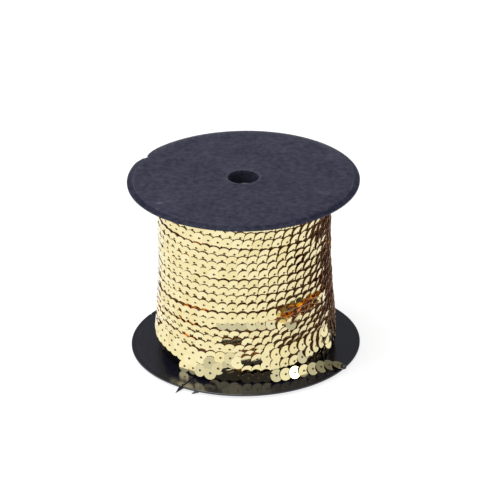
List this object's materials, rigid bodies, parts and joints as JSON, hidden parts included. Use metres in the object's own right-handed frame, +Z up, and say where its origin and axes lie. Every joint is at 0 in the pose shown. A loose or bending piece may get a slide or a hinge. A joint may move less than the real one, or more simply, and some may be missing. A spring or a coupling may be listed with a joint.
{
  "type": "sequin trim wound on a spool",
  "caption": "Gold sequin trim wound on a black plastic spool with round flanges and a hub hole, its loose end caught in a slit of the lower flange.",
  "frame": {"origin": "centre of the lower flange's outer face, on the spool's axis", "axes": "+Z up along the spool's axis, -Y towards the front, where the trim's loose end leaves the winding, +X to its right"},
  "size_m": [0.108, 0.108, 0.0874],
  "materials": {
    "black_plastic": "moulded, satin",
    "gold_sequin": "metallised film, mirror gloss"
  },
  "bodies": {
    "root": {"flange_top": "black_plastic", "flange_bottom": "black_plastic", "spool_barrel": "black_plastic", "wound_trim": "gold_sequin", "trim_end": "gold_sequin"}
  },
  "joints": []
}
